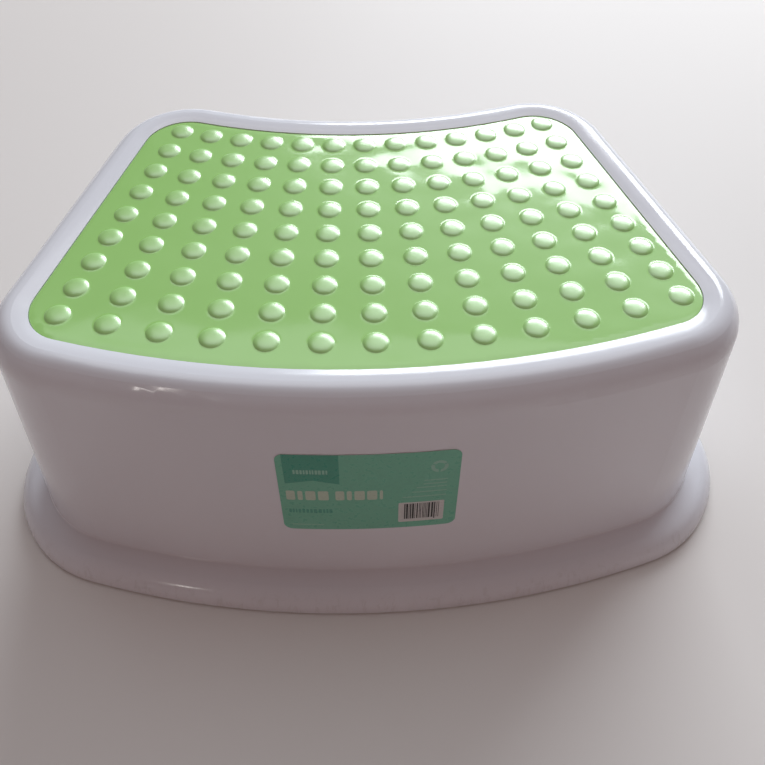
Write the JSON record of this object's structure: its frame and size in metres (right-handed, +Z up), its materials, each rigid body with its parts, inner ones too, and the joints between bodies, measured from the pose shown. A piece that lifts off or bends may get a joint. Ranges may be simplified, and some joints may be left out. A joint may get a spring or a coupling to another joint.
{
  "type": "step stool",
  "caption": "One-step child's stool: moulded plastic shell with leaning walls, rolled rim and flared skirt, a studded non-slip tread mat, rubber feet and a front label.",
  "frame": {"origin": "on the floor, under the middle of the overall outline", "axes": "+Z up, +X across the width to the right seen from the front, front (the convex side with the label) towards -Y"},
  "size_m": [0.4086, 0.2786, 0.1505],
  "materials": {
    "shell": "smooth semi-gloss moulded polypropylene, cool off-white",
    "tread": "glossy soft thermoplastic rubber, leaf green",
    "label": "printed self-adhesive film, teal",
    "feet": "matt soft rubber, grey"
  },
  "bodies": {
    "root": {"stool_shell": "shell", "tread_mat": "tread", "front_label": "label", "foot_pad_front_left": "feet", "foot_pad_front_middle": "feet", "foot_pad_front_right": "feet", "foot_pad_back_left": "feet", "foot_pad_back_middle": "feet", "foot_pad_back_right": "feet"}
  },
  "joints": []
}
